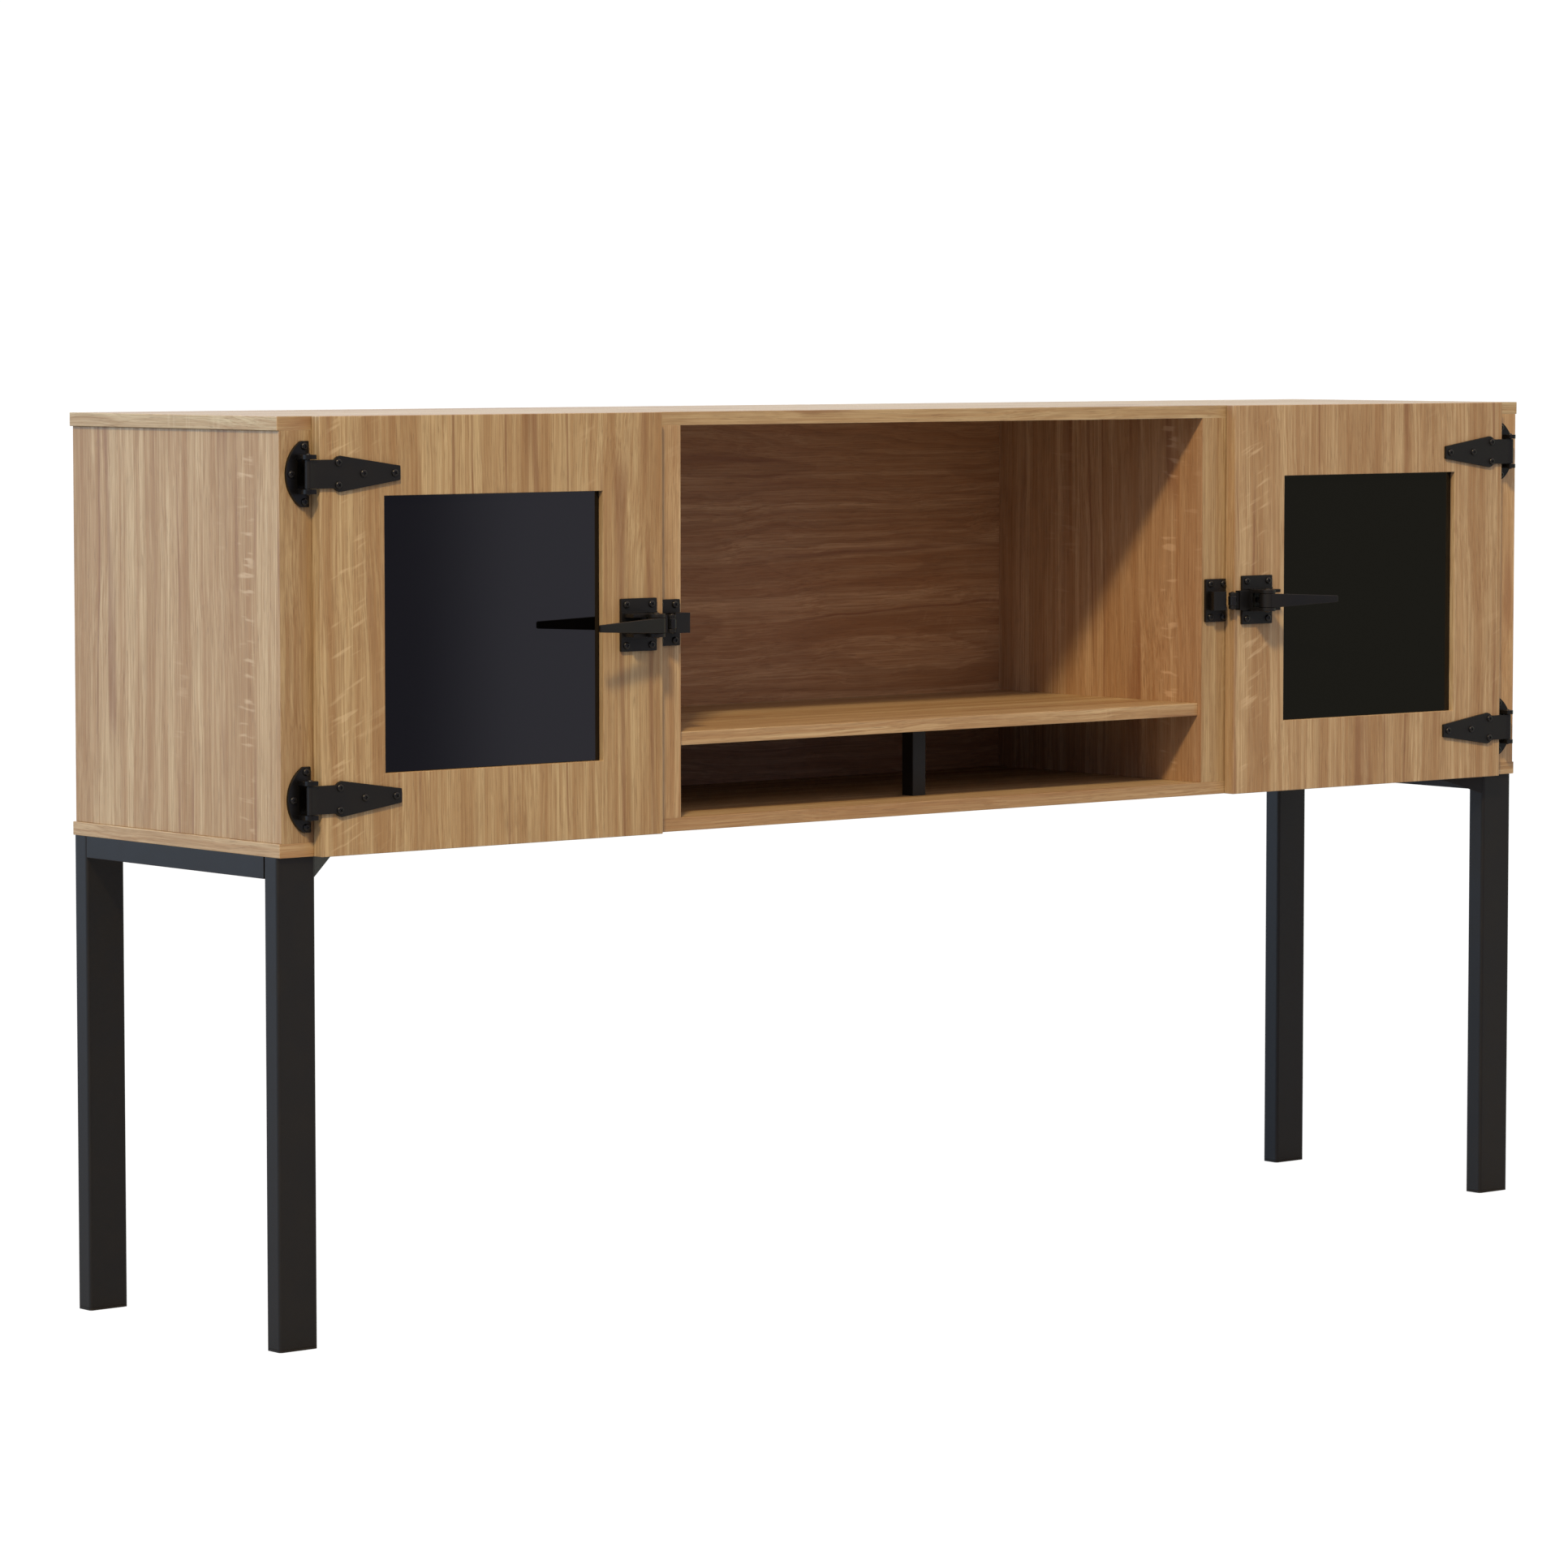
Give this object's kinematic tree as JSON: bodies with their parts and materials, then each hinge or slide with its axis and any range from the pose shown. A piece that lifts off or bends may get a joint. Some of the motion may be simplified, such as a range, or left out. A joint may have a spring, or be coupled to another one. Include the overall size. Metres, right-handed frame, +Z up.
{
  "type": "sideboard buffet",
  "caption": "Long low wooden cabinet on a steel leg frame, with an open shelved bay between glazed doors on strap hinges and lever latches.",
  "frame": {"origin": "middle of the whole object's base, on the floor", "axes": "+X along the cabinet towards the right-hand door as seen from the front, +Y from the doors to the back, +Z up"},
  "size_m": [1.524, 0.37, 0.8],
  "materials": {
    "oak": "satin oak-faced board with visible grain",
    "black_steel": "satin black powder coat",
    "dark_glass": "gloss, tinted nearly black",
    "black_plastic": "matt black moulding",
    "zinc": "bright zinc plate",
    "beech": "plain fluted peg"
  },
  "bodies": {
    "carcass": {"top_panel": "oak", "bottom_panel": "oak", "side_panel_left": "oak", "side_panel_right": "oak", "divider_left": "oak", "divider_right": "oak", "outer_stile_left": "oak", "outer_stile_right": "oak", "inner_stile_left": "oak", "inner_stile_right": "oak", "back_panel": "oak", "centre_shelf": "oak", "shelf_post": "black_steel", "panel_dowels": "beech", "cam_locks": "zinc", "shelf_pins": "zinc", "back_screws": "zinc", "leg_front_left": "black_steel", "leg_rear_left": "black_steel", "leg_front_right": "black_steel", "leg_rear_right": "black_steel", "side_rail_left": "black_steel", "side_rail_right": "black_steel", "gussets_left": "black_steel", "gussets_right": "black_steel", "foot_caps": "black_plastic", "frame_screws": "black_steel", "hinge_plate_upper_left": "black_steel", "hinge_plate_lower_left": "black_steel", "hinge_plate_upper_right": "black_steel", "hinge_plate_lower_right": "black_steel", "hinge_pins": "black_steel", "carcass_screws": "black_steel", "latch_keeper_left": "black_steel", "latch_keeper_right": "black_steel"},
    "door_left": {"door_panel_left": "oak", "door_glass_left": "dark_glass", "glass_beads_left": "black_plastic", "hinge_strap_upper_left": "black_steel", "hinge_strap_lower_left": "black_steel", "door_screws_left": "black_steel", "latch_base_left": "black_steel", "lever_pin_left": "black_steel"},
    "lever_left": {"latch_lever_left": "black_steel"},
    "bolt_left": {"latch_bolt_left": "black_steel", "bolt_pin_left": "black_steel"},
    "roller_left": {"latch_roller_left": "black_steel"},
    "door_right": {"door_panel_right": "oak", "door_glass_right": "dark_glass", "glass_beads_right": "black_plastic", "hinge_strap_upper_right": "black_steel", "hinge_strap_lower_right": "black_steel", "door_screws_right": "black_steel", "latch_base_right": "black_steel", "lever_pin_right": "black_steel"},
    "lever_right": {"latch_lever_right": "black_steel"},
    "bolt_right": {"latch_bolt_right": "black_steel", "bolt_pin_right": "black_steel"},
    "roller_right": {"latch_roller_right": "black_steel"}
  },
  "joints": [
    {"name": "door_left_swing", "type": "hinge", "parent": "carcass", "child": "door_left", "pos_m": [-0.739, -0.1447, 0.6125], "axis": [0, 0, -1], "range_deg": [0, 180]},
    {"name": "lever_left_pull", "type": "hinge", "parent": "door_left", "child": "lever_left", "pos_m": [-0.378, -0.166, 0.6125], "axis": [0, 0, 1], "range_deg": [0, 20], "stiffness_Nm_per_rad": 0.2},
    {"name": "bolt_left_draw", "type": "slide", "parent": "door_left", "child": "bolt_left", "axis": [-1, 0, 0], "range_m": [0, 0.00392]},
    {"name": "roller_left_spin", "type": "hinge", "parent": "bolt_left", "child": "roller_left", "pos_m": [-0.3474, -0.1495, 0.6125], "axis": [0, 0, 1], "continuous": true},
    {"name": "door_right_swing", "type": "hinge", "parent": "carcass", "child": "door_right", "pos_m": [0.739, -0.1447, 0.6125], "axis": [0, 0, 1], "range_deg": [0, 180]},
    {"name": "lever_right_pull", "type": "hinge", "parent": "door_right", "child": "lever_right", "pos_m": [0.378, -0.166, 0.6125], "axis": [0, 0, -1], "range_deg": [0, 20], "stiffness_Nm_per_rad": 0.2},
    {"name": "bolt_right_draw", "type": "slide", "parent": "door_right", "child": "bolt_right", "axis": [1, 0, 0], "range_m": [0, 0.00392]},
    {"name": "roller_right_spin", "type": "hinge", "parent": "bolt_right", "child": "roller_right", "pos_m": [0.3474, -0.1495, 0.6125], "axis": [0, 0, 1], "continuous": true}
  ],
  "couplings": [
    {"joint": "bolt_left_draw", "follows": "lever_left_pull", "m_per_rad": 0.0112},
    {"joint": "bolt_right_draw", "follows": "lever_right_pull", "m_per_rad": 0.0112}
  ]
}
